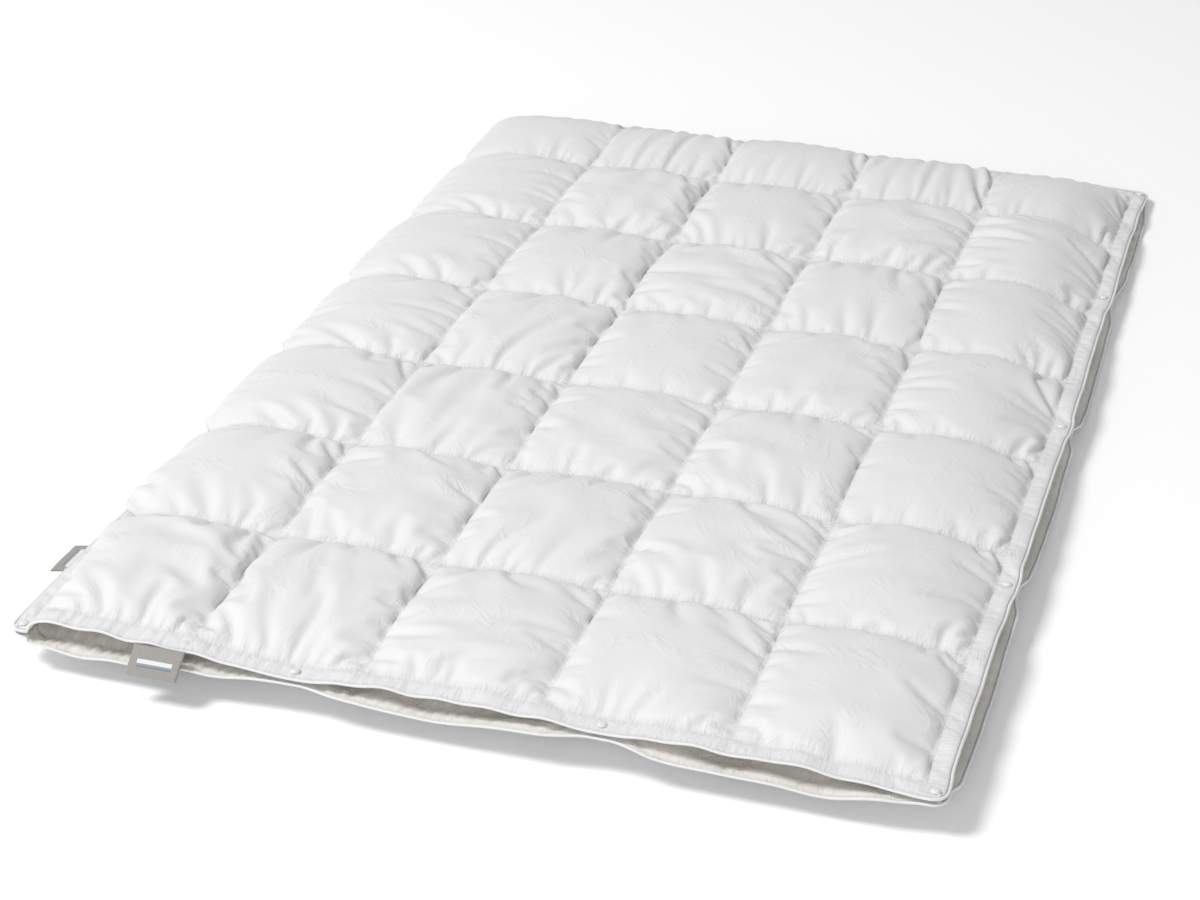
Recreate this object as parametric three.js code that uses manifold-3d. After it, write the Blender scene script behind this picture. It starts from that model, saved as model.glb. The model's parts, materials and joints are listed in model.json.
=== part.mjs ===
// A four-season down quilt: two box-stitched quilts, one on the other, held together round the
// edge by press studs. Millimetres, +Z up, X across the width, Y along the length, near edge at -Y.
// The origin is on the floor under the middle of the quilt.
import * as THREE from "three";
import { mergeVertices } from "three/addons/utils/BufferGeometryUtils.js";
import Module from "manifold-3d";

const wasm = await Module();
wasm.setup();

// ---- Driving dimensions ----
const WIDTH = 1400; // flat size of the quilt
const LENGTH = 2200;
const COLUMNS = 5; // down boxes across and along
const ROWS = 7;
const FOLD_ROW = 4; // cross seam on which the quilt folds, counted from the near edge
const FLANGE = 30; // flat hem between the outer seam and the edge
const PANEL = 0.9; // thickness a cover panel is drawn at
const SEAM_GAP = 2.4; // down-filled gap between two panels at a seam
const UPPER_SEAM_HEIGHT = 66; // height of each quilt's seams above the floor
const LOWER_SEAM_HEIGHT = 21;
const LOFT = 30; // how far a box of the upper quilt stands up from its seams
const SHOULDER = 0.23; // share of a box's side taken by the rounded shoulder
const SETTLED = 0.62; // share of a box's free height that the settled down takes up
const PIPING_RADIUS = 2.2;
const PIPING_SIDES = 6;
const CLEARANCE = 0.3; // gap between pieces that touch
const FILL_CLEARANCE = 0.5;
const QUILT_CLEARANCE = 0.6; // between the two quilts where their boxes meet
const FOLD_CLEARANCE = 0.5; // from the highest box up to the fold axis
const FOLD_SPLIT = 0.4; // between the two halves of a panel at the fold seam

// Press studs: a cap and socket on the upper quilt, a stud and back cap on the lower one.
const STUDS_ACROSS = 4; // along a short edge, corners included
const STUDS_ALONG = 5;
const STUD_FACETS = 8;
const CAP_RADIUS = 7.5;
const CAP_HEIGHT = 3;
const SHANK_RADIUS = 2;
const SOCKET_RADIUS = 5;
const SOCKET_HEIGHT = 3;
const SOCKET_ROOF = 0.4;
const POST_RADIUS = 1.9;
const PLATE_RADIUS = 4.6;
const PLATE_HEIGHT = 1.2;
const BACK_RADIUS = 5.2;
const BACK_HEIGHT = 1.8;
const STUD_FLAT = 16; // the edge lies level this far to each side of a stud
const DRAW_POWER = 4; // how fast an edge's drawing in dies away inside the quilt

// Woven labels, folded in two and sewn into the edge.
const LABEL_WIDTH = 78;
const LABEL_LENGTH = 46;
const LABEL_THICKNESS = 1.2;
const FRONT_LABEL_X = -435; // flat place of its middle along the near edge
const FRONT_LABEL_SLOPE = 36; // degrees below level
const SIDE_LABEL_Y = -850; // flat place of its middle along the left edge
const SIDE_LABEL_SLOPE = 8;

// How the edge lies. For each stud of a side, in the direction of +X or +Y: the height at which the
// two quilts are snapped together, and how far the edge has drawn in from the flat outline.
// Between two studs the upper edge lifts and the lower edge drops, and the mouth between them is
// widest at `peak`, a share of the way along.
const EDGES = {
  near: {
    height: [52, 55, 60, 52],
    drawnIn: [0, 0, 0, 0],
    mouths: [
      { lift: 20, drop: 12, peak: 0.3 },
      { lift: 9, drop: 16, peak: 0.5 },
      { lift: 9, drop: 18, peak: 0.5 },
    ],
    fade: 150,
  },
  far: {
    height: [13, 15, 14, 12],
    drawnIn: [8, 2, 0, 6],
    mouths: [
      { lift: 4, drop: 2, peak: 0.5 },
      { lift: 5, drop: 3, peak: 0.5 },
      { lift: 4, drop: 2, peak: 0.5 },
    ],
    fade: 100,
  },
  left: {
    height: [52, 24, 20, 18, 13],
    drawnIn: [42, 36, 30, 30, 34],
    mouths: [
      { lift: 8, drop: 14, peak: 0.7 },
      { lift: 6, drop: 7, peak: 0.5 },
      { lift: 6, drop: 5, peak: 0.5 },
      { lift: 4, drop: 3, peak: 0.5 },
    ],
    fade: 95,
  },
  right: {
    height: [52, 50, 38, 28, 12],
    drawnIn: [0, 3, 8, 18, 24],
    mouths: [
      { lift: 6, drop: 24, peak: 0.5 },
      { lift: 6, drop: 26, peak: 0.5 },
      { lift: 8, drop: 20, peak: 0.4 },
      { lift: 6, drop: 9, peak: 0.5 },
    ],
    fade: 140,
  },
};

// ---- Sizes that follow from them ----
const HALF_WIDTH = WIDTH / 2;
const HALF_LENGTH = LENGTH / 2;
const BOX_WIDTH = (WIDTH - 2 * FLANGE) / COLUMNS;
const BOX_LENGTH = (LENGTH - 2 * FLANGE) / ROWS;
const HALF_HEM = SEAM_GAP / 2 + PANEL; // from a quilt's middle to the outside of its hem
const SNAPPED = SOCKET_HEIGHT + PLATE_HEIGHT + 3 * CLEARANCE; // between the two hems at a stud
const HALF_STACK = SNAPPED / 2 + HALF_HEM; // from the snapping height to a quilt's middle
const CREST = UPPER_SEAM_HEIGHT + HALF_HEM + LOFT;
const FOLD_Y = -HALF_LENGTH + FLANGE + FOLD_ROW * BOX_LENGTH;
const FOLD_Z = CREST + FOLD_CLEARANCE;
const studPlaces = (half, count) =>
  Array.from({ length: count }, (_, i) => (half - FLANGE / 2) * ((2 * i) / (count - 1) - 1));
const STUDS_X = studPlaces(HALF_WIDTH, STUDS_ACROSS);
const STUDS_Y = studPlaces(HALF_LENGTH, STUDS_ALONG);
const PLACES = { near: STUDS_X, far: STUDS_X, left: STUDS_Y, right: STUDS_Y };

// ---- Materials ----
const cotton = new THREE.MeshStandardMaterial({ color: 0xe9e9ec, roughness: 0.85, metalness: 0 });
const lining = new THREE.MeshStandardMaterial({ color: 0xe3dfd6, roughness: 0.9, metalness: 0 });
const down = new THREE.MeshStandardMaterial({ color: 0xf6f4ee, roughness: 1, metalness: 0 });
const cord = new THREE.MeshStandardMaterial({ color: 0xf2f2f4, roughness: 0.6, metalness: 0 });
const pearl = new THREE.MeshStandardMaterial({ color: 0xe6e6e2, roughness: 0.25, metalness: 0 });
const woven = new THREE.MeshStandardMaterial({ color: 0x7b7875, roughness: 0.8, metalness: 0 });

const part = new THREE.Group();

function add(name, geometry, material) {
  const mesh = new THREE.Mesh(geometry, material);
  mesh.name = name;
  part.add(mesh);
  return mesh;
}

// ---- The shape the quilt lies in ----
const lerp = THREE.MathUtils.lerp;
const smooth = (t) => THREE.MathUtils.smoothstep(t, 0, 1);

// What the edge does at place s along a side: its snapping height, how far it has drawn in, and how
// far the mouth there lifts the upper edge and drops the lower one.
function edgeAt(side, s) {
  const places = PLACES[side];
  const edge = EDGES[side];
  const last = places.length - 2;
  const i = THREE.MathUtils.clamp(places.findIndex((p) => p > s) - 1, 0, last);
  const k = s >= places[last + 1] ? last : i;
  const start = places[k] + STUD_FLAT;
  const t = THREE.MathUtils.clamp((s - start) / (places[k + 1] - STUD_FLAT - start), 0, 1);
  const mouth = edge.mouths[k];
  const open = Math.sin(Math.PI * t ** (Math.log(0.5) / Math.log(mouth.peak)));
  return {
    height: lerp(edge.height[k], edge.height[k + 1], smooth(t)),
    drawnIn: lerp(edge.drawnIn[k], edge.drawnIn[k + 1], smooth(t)),
    lift: open * mouth.lift,
    drop: open * mouth.drop,
  };
}

// The height of the upper (+1) or lower (-1) quilt's middle at the edge.
function hemHeight(side, s, layer) {
  const e = edgeAt(side, s);
  return e.height + layer * HALF_STACK + (layer > 0 ? e.lift : -e.drop);
}

// A place in the quilt lies at {at} on the flat cloth, and takes its edge from {edge}, which is a
// stud's own place on the lines next to it, so that the hem is level under the stud.
function middleHeight(px, py, layer) {
  const inside = layer > 0 ? UPPER_SEAM_HEIGHT : LOWER_SEAM_HEIGHT;
  const near = HALF_LENGTH - FLANGE + py.at;
  const far = HALF_LENGTH - FLANGE - py.at;
  const left = HALF_WIDTH - FLANGE + px.at;
  const right = HALF_WIDTH - FLANGE - px.at;
  const pull = (side, distance) => 1 - smooth(Math.max(0, distance) / EDGES[side].fade);
  const wn = pull("near", near);
  const wf = pull("far", far);
  const wl = pull("left", left);
  const wr = pull("right", right);
  const off = (side, s) => hemHeight(side, s, layer) - inside;
  const ends = [-HALF_WIDTH, HALF_WIDTH];
  return (
    inside +
    wn * off("near", px.edge) +
    wf * off("far", px.edge) +
    wl * off("left", py.edge) +
    wr * off("right", py.edge) -
    wn * wl * off("near", ends[0]) -
    wn * wr * off("near", ends[1]) -
    wf * wl * off("far", ends[0]) -
    wf * wr * off("far", ends[1])
  );
}

// Flat cloth to the outline it lies in, with the edges drawn in.
function laid(x, y) {
  const u = x / WIDTH + 0.5;
  const v = y / LENGTH + 0.5;
  const pull = (side, s, share) => edgeAt(side, s).drawnIn * share ** DRAW_POWER;
  return [
    x + pull("left", y, 1 - u) - pull("right", y, u),
    y + pull("near", x, 1 - v) - pull("far", x, v),
  ];
}

// The lines that facet the quilt one way: the two edges, and each box's seam and shoulders.
function facetLines(half, boxes, places) {
  const field = half - FLANGE;
  const box = (2 * field) / boxes;
  const studBox = places.map((p) => Math.floor((p + field) / box));
  const lines = [{ at: -half, edge: -half, puff: 0 }];
  for (let i = 0; i < boxes; i++) {
    const from = -field + i * box;
    const stud = places[studBox.indexOf(i)];
    lines.push({ at: from, edge: from, puff: 0, seam: i });
    // A box with a stud beside it keeps the whole cap between its shoulders.
    for (const [share, side] of [[SHOULDER, -1], [1 - SHOULDER, 1]]) {
      const cap = (stud ?? from + box / 2) + side * (CAP_RADIUS + CLEARANCE);
      const at = side * Math.max(side * (from + share * box), side * cap);
      lines.push({ at, edge: stud ?? at, puff: 1 });
    }
  }
  lines.push({ at: field, edge: field, puff: 0, seam: boxes });
  lines.push({ at: half, edge: half, puff: 0 });
  return lines;
}
const LINES_X = facetLines(HALF_WIDTH, COLUMNS, STUDS_X);
const LINES_Y = facetLines(HALF_LENGTH, ROWS, STUDS_Y);
const FOLD_LINE = LINES_Y.findIndex((line) => line.seam === FOLD_ROW);

// Heights of a quilt's panels where two lines cross: outside and inside of the top and bottom panel.
function panelHeights(px, py, layer) {
  const middle = middleHeight(px, py, layer);
  const other = middleHeight(px, py, -layer);
  const room = (Math.abs(middle - other) - 2 * HALF_HEM - QUILT_CLEARANCE) / 2;
  const puff = px.puff * py.puff;
  const top = middle + HALF_HEM + puff * (layer > 0 ? LOFT : room);
  const bottom = middle - HALF_HEM - puff * (layer > 0 ? room : middle - HALF_HEM);
  return { top, topInside: top - PANEL, bottomInside: bottom + PANEL, bottom };
}

// ---- Solids ----
function meshGeometry(points, triangles) {
  const geometry = new THREE.BufferGeometry();
  geometry.setAttribute("position", new THREE.Float32BufferAttribute(points.flat(), 3));
  geometry.setIndex(triangles);
  return geometry;
}

// A closed slab between two height surfaces over the same grid: rows of {x, y, low, high}.
function slab(grid) {
  const wide = grid[0].length;
  const count = grid.length * wide;
  const flat = grid.flat();
  const points = flat.map((p) => [p.x, p.y, p.low]).concat(flat.map((p) => [p.x, p.y, p.high]));
  const triangles = [];
  const quad = (a, b, c, d) => triangles.push(a, b, c, a, c, d);
  for (let j = 0; j + 1 < grid.length; j++) {
    for (let i = 0; i + 1 < wide; i++) {
      const a = j * wide + i;
      quad(count + a, count + a + 1, count + a + wide + 1, count + a + wide);
      triangles.push(a, a + wide + 1, a + 1, a, a + wide, a + wide + 1);
    }
  }
  const wall = (a, b) => quad(a, b, count + b, count + a);
  for (let i = 0; i + 1 < wide; i++) {
    wall(i, i + 1);
    wall((grid.length - 1) * wide + i + 1, (grid.length - 1) * wide + i);
  }
  for (let j = 0; j + 1 < grid.length; j++) {
    wall((j + 1) * wide, j * wide);
    wall(j * wide + wide - 1, (j + 1) * wide + wide - 1);
  }
  return meshGeometry(points, triangles);
}

function toSolid(geometry) {
  const bare = new THREE.BufferGeometry();
  bare.setAttribute("position", geometry.getAttribute("position"));
  bare.setIndex(geometry.index);
  const merged = mergeVertices(bare, 1e-3);
  return new wasm.Manifold(
    new wasm.Mesh({
      numProp: 3,
      vertProperties: merged.attributes.position.array,
      triVerts: new Uint32Array(merged.index.array),
    }),
  );
}

function toGeometry(solid) {
  const mesh = solid.getMesh();
  const geometry = new THREE.BufferGeometry();
  geometry.setAttribute("position", new THREE.BufferAttribute(mesh.vertProperties, 3));
  geometry.setIndex(new THREE.BufferAttribute(mesh.triVerts, 1));
  return geometry;
}

// ---- Press studs: where they are ----
const atStud = (x, y, side, s) => {
  const [px, py] = laid(x, y);
  return { x: px, y: py, z: edgeAt(side, s).height, far: y > FOLD_Y };
};
const studs = [
  ...STUDS_X.map((x) => atStud(x, STUDS_Y[0], "near", x)),
  ...STUDS_Y.slice(1, -1).map((y) => atStud(STUDS_X.at(-1), y, "right", y)),
  ...STUDS_X.toReversed().map((x) => atStud(x, STUDS_Y.at(-1), "far", x)),
  ...STUDS_Y.slice(1, -1).toReversed().map((y) => atStud(STUDS_X[0], y, "left", y)),
];

// ---- Cover panels ----
// The hem is pierced at every stud, and each panel is in two halves that meet at the fold seam.
function panel(layer, face, half) {
  const [from, to] = half === "near" ? [0, FOLD_LINE] : [FOLD_LINE, LINES_Y.length - 1];
  const shift = (half === "near" ? -1 : 1) * (FOLD_SPLIT / 2);
  const grid = [];
  for (let j = from; j <= to; j++) {
    grid.push(
      LINES_X.map((px) => {
        const [x, y] = laid(px.at, LINES_Y[j].at);
        const h = panelHeights(px, LINES_Y[j], layer);
        const [low, high] = face === "top" ? [h.topInside, h.top] : [h.bottom, h.bottomInside];
        return { x, y: y + (j === FOLD_LINE ? shift : 0), low, high };
      }),
    );
  }
  let solid = toSolid(slab(grid));
  for (const stud of studs.filter((s) => s.far === (half === "far"))) {
    const drill = new THREE.CylinderGeometry(
      SHANK_RADIUS + CLEARANCE, SHANK_RADIUS + CLEARANCE, 4 * HALF_STACK, STUD_FACETS);
    drill.rotateX(Math.PI / 2);
    drill.translate(stud.x, stud.y, stud.z + layer * HALF_STACK);
    solid = solid.subtract(toSolid(drill));
  }
  return toGeometry(solid);
}

// ---- Down ----
// One row's filling: settled in its boxes, and thin where it runs on under the column seams.
function downRow(layer, row) {
  const first = LINES_Y.findIndex((line) => line.seam === row);
  const rows = LINES_Y.slice(first, first + 4);
  const columns = LINES_X.slice(1, -1);
  // A line at the end of the filling is moved in towards its neighbour, surfaces and all.
  const ends = (lines) => [
    { a: lines[0], b: lines[1] },
    ...lines.slice(1, -1).map((line) => ({ a: line, b: line })),
    { a: lines.at(-1), b: lines.at(-2) },
  ];
  const share = ({ a, b }) => (a === b ? 0 : CLEARANCE / Math.abs(b.at - a.at));
  const grid = ends(rows).map((ey) =>
    ends(columns).map((ex) => {
      const sx = share(ex);
      const sy = share(ey);
      const [ax, ay] = laid(ex.a.at, ey.a.at);
      const [bx, by] = laid(ex.b.at, ey.b.at);
      const corners = [
        [ex.a, ey.a, (1 - sx) * (1 - sy)],
        [ex.b, ey.a, sx * (1 - sy)],
        [ex.a, ey.b, (1 - sx) * sy],
        [ex.b, ey.b, sx * sy],
      ];
      let low = 0;
      let high = 0;
      for (const [px, py, weight] of corners) {
        const h = panelHeights(px, py, layer);
        low += weight * (h.bottomInside + FILL_CLEARANCE);
        high += weight * (h.topInside - FILL_CLEARANCE);
      }
      const free = high - low - (SEAM_GAP - 2 * FILL_CLEARANCE);
      return {
        x: lerp(ax, bx, sx),
        y: lerp(ay, by, sy),
        low,
        high: high - (1 - SETTLED) * free,
      };
    }),
  );
  return slab(grid);
}

// ---- Piping ----
// A cord sewn round the edge, as sections carried along a run of edge points.
function piping(layer, run) {
  const reach = CLEARANCE + PIPING_RADIUS;
  const points = [];
  const triangles = [];
  for (const { px, py, outX, outY, shift } of run) {
    const [x, y] = laid(px.at, py.at);
    const z = middleHeight(px, py, layer);
    for (let k = 0; k < PIPING_SIDES; k++) {
      const angle = (2 * Math.PI * k) / PIPING_SIDES;
      const out = reach + PIPING_RADIUS * Math.cos(angle);
      points.push([x + outX * out, y + outY * out + shift, z + PIPING_RADIUS * Math.sin(angle)]);
    }
  }
  const lastRing = (run.length - 1) * PIPING_SIDES;
  for (let i = 0; i + 1 < run.length; i++) {
    for (let k = 0; k < PIPING_SIDES; k++) {
      const a = i * PIPING_SIDES + k;
      const b = i * PIPING_SIDES + ((k + 1) % PIPING_SIDES);
      triangles.push(a, b, b + PIPING_SIDES, a, b + PIPING_SIDES, a + PIPING_SIDES);
    }
  }
  for (let k = 1; k + 1 < PIPING_SIDES; k++) {
    triangles.push(0, k + 1, k);
    triangles.push(lastRing, lastRing + k, lastRing + k + 1);
  }
  return meshGeometry(points, triangles);
}

// The edge points of one half, from fold to fold, clockwise seen from above.
function edgeRun(half) {
  const endY = half === "near" ? -1 : 1;
  const corner = half === "near" ? LINES_Y[0] : LINES_Y.at(-1);
  const side = half === "near" ? LINES_Y.slice(1, FOLD_LINE + 1) : LINES_Y.slice(FOLD_LINE, -1);
  const outward = half === "near" ? side : side.toReversed();
  const point = (px, py, outX, outY) => ({
    px,
    py,
    outX,
    outY,
    shift: py === LINES_Y[FOLD_LINE] ? (endY * FOLD_SPLIT) / 2 : 0,
  });
  const right = outward.map((py) => point(LINES_X.at(-1), py, 1, 0)).toReversed();
  const left = outward.map((py) => point(LINES_X[0], py, -1, 0));
  const across = LINES_X.slice(1, -1).map((px) => point(px, corner, 0, endY)).toReversed();
  const run = [
    ...right,
    point(LINES_X.at(-1), corner, 1, endY),
    ...across,
    point(LINES_X[0], corner, -1, endY),
    ...left,
  ];
  return half === "near" ? run : run.toReversed();
}

// ---- Press studs: what they are ----
function lathe(profile, stud) {
  const outline = profile.map(([r, z]) => new THREE.Vector2(r, z));
  const geometry = new THREE.LatheGeometry(outline, STUD_FACETS);
  geometry.rotateX(Math.PI / 2);
  geometry.translate(stud.x, stud.y, stud.z);
  return geometry;
}

// Heights are counted from the snapping height.
const PLATE_BOTTOM = -SNAPPED / 2 + CLEARANCE;
const PLATE_TOP = PLATE_BOTTOM + PLATE_HEIGHT;
const SOCKET_BOTTOM = PLATE_TOP + CLEARANCE;
const SOCKET_TOP = SOCKET_BOTTOM + SOCKET_HEIGHT;
const CAP_BOTTOM = HALF_STACK + HALF_HEM + CLEARANCE;
const BACK_TOP = -CAP_BOTTOM;
const POST_TOP = SOCKET_TOP - SOCKET_ROOF - CLEARANCE;

const socketProfile = [
  [0, SOCKET_TOP - SOCKET_ROOF],
  [POST_RADIUS + CLEARANCE, SOCKET_TOP - SOCKET_ROOF],
  [POST_RADIUS + CLEARANCE, SOCKET_BOTTOM],
  [SOCKET_RADIUS, SOCKET_BOTTOM],
  [SOCKET_RADIUS, SOCKET_TOP],
  [SHANK_RADIUS, SOCKET_TOP],
  [SHANK_RADIUS, CAP_BOTTOM],
  [CAP_RADIUS, CAP_BOTTOM],
  [CAP_RADIUS * 0.85, CAP_BOTTOM + CAP_HEIGHT * 0.65],
  [0, CAP_BOTTOM + CAP_HEIGHT],
];
const studProfile = [
  [0, BACK_TOP - BACK_HEIGHT],
  [BACK_RADIUS, BACK_TOP - BACK_HEIGHT],
  [BACK_RADIUS, BACK_TOP],
  [SHANK_RADIUS, BACK_TOP],
  [SHANK_RADIUS, PLATE_BOTTOM],
  [PLATE_RADIUS, PLATE_BOTTOM],
  [PLATE_RADIUS, PLATE_TOP],
  [POST_RADIUS, PLATE_TOP],
  [POST_RADIUS, POST_TOP],
  [0, POST_TOP],
];

// ---- Labels ----
// A folded ribbon that sticks out from the piping, sloping down. Its fold-line is at `hinge`.
function label(hinge, outX, outY, slope) {
  const geometry = new THREE.BoxGeometry(LABEL_LENGTH, LABEL_WIDTH, LABEL_THICKNESS);
  geometry.translate(LABEL_LENGTH / 2, 0, 0);
  geometry.rotateY(THREE.MathUtils.degToRad(slope));
  geometry.rotateZ(Math.atan2(outY, outX));
  geometry.translate(...hinge);
  return geometry;
}
const LABEL_REACH = 2 * CLEARANCE + 2 * PIPING_RADIUS + LABEL_THICKNESS / 2;
const plain = (at) => ({ at, edge: at, puff: 0 });
function labelHinge(x, y, outX, outY, layer) {
  const [px, py] = laid(x, y);
  const z = middleHeight(plain(x), plain(y), layer);
  return [px + outX * LABEL_REACH, py + outY * LABEL_REACH, z];
}

// ---- Assembly ----
for (const [quilt, layer] of [["lower", -1], ["upper", 1]]) {
  for (const half of ["near", "far"]) {
    add(`${quilt}_bottom_panel_${half}`, panel(layer, "bottom", half), layer > 0 ? lining : cotton);
    add(`${quilt}_top_panel_${half}`, panel(layer, "top", half), layer > 0 ? cotton : lining);
    add(`${quilt}_piping_${half}`, piping(layer, edgeRun(half)), cord);
  }
  for (let row = 0; row < ROWS; row++) add(`${quilt}_down_row_${row + 1}`, downRow(layer, row), down);
}
studs.forEach((stud, i) => {
  add(`snap_socket_${i + 1}`, lathe(socketProfile, stud), pearl);
  add(`snap_stud_${i + 1}`, lathe(studProfile, stud), pearl);
});
add("front_label",
  label(labelHinge(FRONT_LABEL_X, -HALF_LENGTH, 0, -1, 1), 0, -1, FRONT_LABEL_SLOPE), woven);
add("side_label",
  label(labelHinge(-HALF_WIDTH, SIDE_LABEL_Y, -1, 0, -1), -1, 0, SIDE_LABEL_SLOPE), woven);

export default part;
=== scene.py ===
import json
import math

import bpy
import numpy as np
from mathutils import Matrix, Vector


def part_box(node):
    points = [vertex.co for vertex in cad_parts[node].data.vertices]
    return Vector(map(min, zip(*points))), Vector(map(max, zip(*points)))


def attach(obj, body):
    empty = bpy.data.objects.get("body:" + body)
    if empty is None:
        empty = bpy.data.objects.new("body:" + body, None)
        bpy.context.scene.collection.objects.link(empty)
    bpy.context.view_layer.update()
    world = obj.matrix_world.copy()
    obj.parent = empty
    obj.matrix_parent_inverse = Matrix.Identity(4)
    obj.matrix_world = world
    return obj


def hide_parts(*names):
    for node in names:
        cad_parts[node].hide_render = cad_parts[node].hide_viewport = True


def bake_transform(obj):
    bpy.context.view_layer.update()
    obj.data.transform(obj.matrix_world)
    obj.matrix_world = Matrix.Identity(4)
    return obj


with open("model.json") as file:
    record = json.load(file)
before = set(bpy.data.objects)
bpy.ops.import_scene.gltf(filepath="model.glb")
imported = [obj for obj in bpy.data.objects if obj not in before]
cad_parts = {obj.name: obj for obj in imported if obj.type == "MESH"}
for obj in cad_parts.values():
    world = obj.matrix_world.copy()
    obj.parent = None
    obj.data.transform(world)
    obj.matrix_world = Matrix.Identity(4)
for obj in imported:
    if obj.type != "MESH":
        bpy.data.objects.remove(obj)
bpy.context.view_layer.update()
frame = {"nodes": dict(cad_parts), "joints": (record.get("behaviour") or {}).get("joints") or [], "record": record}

# A four-season down quilt: two box-stitched quilts, one on the other, held together round the
# edge by press studs. Metres, +Z up, X across the width, Y along the length, near edge at -Y.

# ---- Sizes, as in the frame ----
WIDTH = 1.4
LENGTH = 2.2
COLUMNS = 5
ROWS = 7
FLANGE = 0.030  # flat hem between the outer seam and the edge
HALF_HEM = 0.0021  # from a quilt's middle to the outside of its hem
HALF_STACK = 0.00465  # from the height where the studs snap to a quilt's middle
UPPER_SEAM_HEIGHT = 0.066
LOWER_SEAM_HEIGHT = 0.021
LOFT = 0.030  # how far a box of the upper quilt stands up from its seams
CREST = UPPER_SEAM_HEIGHT + HALF_HEM + LOFT
QUILT_CLEARANCE = 0.0006
PIPING_RADIUS = 0.0022
STUD_FLAT = 0.016  # the edge lies level this far to each side of a stud
STUDS_ACROSS = 4
STUDS_ALONG = 5
DRAW_POWER = 4  # how fast an edge's drawing in dies away inside the quilt
CORNER_RADIUS = 0.020

HALF_WIDTH = WIDTH / 2
HALF_LENGTH = LENGTH / 2
FIELD_X = HALF_WIDTH - FLANGE  # from the middle of a quilt to its outer seams
FIELD_Y = HALF_LENGTH - FLANGE
BOX_WIDTH = (WIDTH - 2 * FLANGE) / COLUMNS
BOX_LENGTH = (LENGTH - 2 * FLANGE) / ROWS

# How the edge lies, stud by stud in the direction of +X or +Y: the height where the two quilts
# are snapped together, and how far the edge has drawn in. Between two studs the upper edge lifts,
# the lower edge drops, and the mouth is widest at a share of the way along. The near mouths
# differ a little in shape from the frame's.
EDGES = {
    "near": {
        "height": [0.052, 0.055, 0.060, 0.052],
        "drawn_in": [0, 0, 0, 0],
        "mouths": [(0.022, 0.010, 0.2), (0.007, 0.011, 0.5), (0.007, 0.013, 0.5)],
        "fade": 0.150,
    },
    "far": {
        "height": [0.013, 0.015, 0.014, 0.012],
        "drawn_in": [0.008, 0.002, 0, 0.006],
        "mouths": [(0.004, 0.002, 0.5), (0.005, 0.003, 0.5), (0.004, 0.002, 0.5)],
        "fade": 0.100,
    },
    "left": {
        "height": [0.052, 0.024, 0.020, 0.018, 0.013],
        "drawn_in": [0.042, 0.036, 0.030, 0.030, 0.034],
        "mouths": [(0.008, 0.014, 0.7), (0.006, 0.007, 0.5), (0.006, 0.005, 0.5), (0.004, 0.003, 0.5)],
        "fade": 0.095,
    },
    "right": {
        "height": [0.052, 0.050, 0.038, 0.028, 0.012],
        "drawn_in": [0, 0.003, 0.008, 0.018, 0.024],
        "mouths": [(0.006, 0.024, 0.5), (0.006, 0.026, 0.5), (0.008, 0.020, 0.4), (0.006, 0.009, 0.5)],
        "fade": 0.140,
    },
}

# ---- Cloth ----
HEM_CELLS = 8  # grid cells across the hem, and along each side of a box
CELLS_ACROSS = 48
CELLS_ALONG = 56
STRIDES = (4, 2, 1)  # the cloth settles on a coarse grid first
SWEEPS = {4: 300, 2: 300, 1: 260}
HALF_SEAM = 0.0012  # from a quilt's middle to its cover at a seam
BOW = 0.007  # how far a seam rises between two crossings
STRAY = ((0.0016, (0.3, 0.7)), (0.0008, (0.03, 0.09)))  # how far and in what waves seams stray
CAP_HOLD = 0.0095  # the hem keeps its place this far round a stud
SLACK = (0.030, 0.043)  # share of spare cloth in a box
SEAM_SLACK = 0.026  # more spare cloth beside the seams
SEAM_SLACK_REACH = 0.030
HEM_SLACK = 0.004
PRESSED = 0.4  # share of the spare cloth that is left where the boxes lie on the floor
GATHER = 0.012  # the stitches take up the spare cloth this close to a seam
FILL = 0.007  # how far the down stands above the frame's boxes in the middle of a box
FULLNESS = (0.86, 1.0)  # how full of down the boxes are
DOME_POWER = 2.4  # how steeply the down rises from the seams
DOME_RIM = 0.35  # its height at a seam, as a share of its height in the middle
LUMPS = 0.07  # its unevenness, as a share of its height
LUMP_LENGTHS = (0.07, 0.16)
LEAST_ROOM = 0.0015
HEM_ROOM = 0.0022  # how far the covers of the hem puff up
HEM_DIP = 0.0004  # the covers of the hem start this far inside it
COVER_GAP = 0.0004  # a cover keeps at least this far from the middle of its quilt
FLOOR_GAP = 0.0008  # and the lowest one this far from the floor
START_BUMP = 0.3  # a cover starts at this share of the down's height
DROOP_SLACK = 0.025  # more spare cloth in the boxes that droop over the left and far hems
DROOP_FILL = 0.75  # share of the height up to the crest that the down takes there
DROOP_REACH = 0.11
LEAN = 0.044  # how far the left row of boxes leans out over the hem
LEAN_RISE = 0.020  # cloth this high above the edge leans out in full
LEAN_REACH = 0.17  # the lean ends this far inside the seam
LEAN_START = 0.03  # it begins this far from the near seam
LEAN_RUN = 0.42  # and grows over this length
EDGE_WAVE = 0.0022  # how far the loose edge waves up and down between the studs
EDGE_WAVE_LENGTHS = (0.07, 0.2)
OPEN_DROP = 0.006  # an edge that drops this far is loose
LOWEST_MIDDLE = 0.0045  # a waving quilt's middle stays this high
SPREAD = {1: -0.003, -1: 0.009}  # how far the edge stands out where a mouth is open
PUSH = 5e-6  # what the down moves a point by in one sweep, per grid stride
WEIGHT = -0.2  # share of it that presses down again above the down's own height
DAMPING = 0.95  # share of its motion that a point keeps
BENDING = 0.003  # how much the cloth resists bending
SHEAR = 0.15  # and pulling askew
UNEVEN = 0.0006  # random start of the creases

# ---- Camera ----
LOOK_AT = Vector((-0.011, -0.349, 0.066))
CAMERA_AZIMUTH = 17.866
CAMERA_ELEVATION = 28.62
CAMERA_DISTANCE = 4.222
CAMERA_LENS = 78.9


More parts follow.
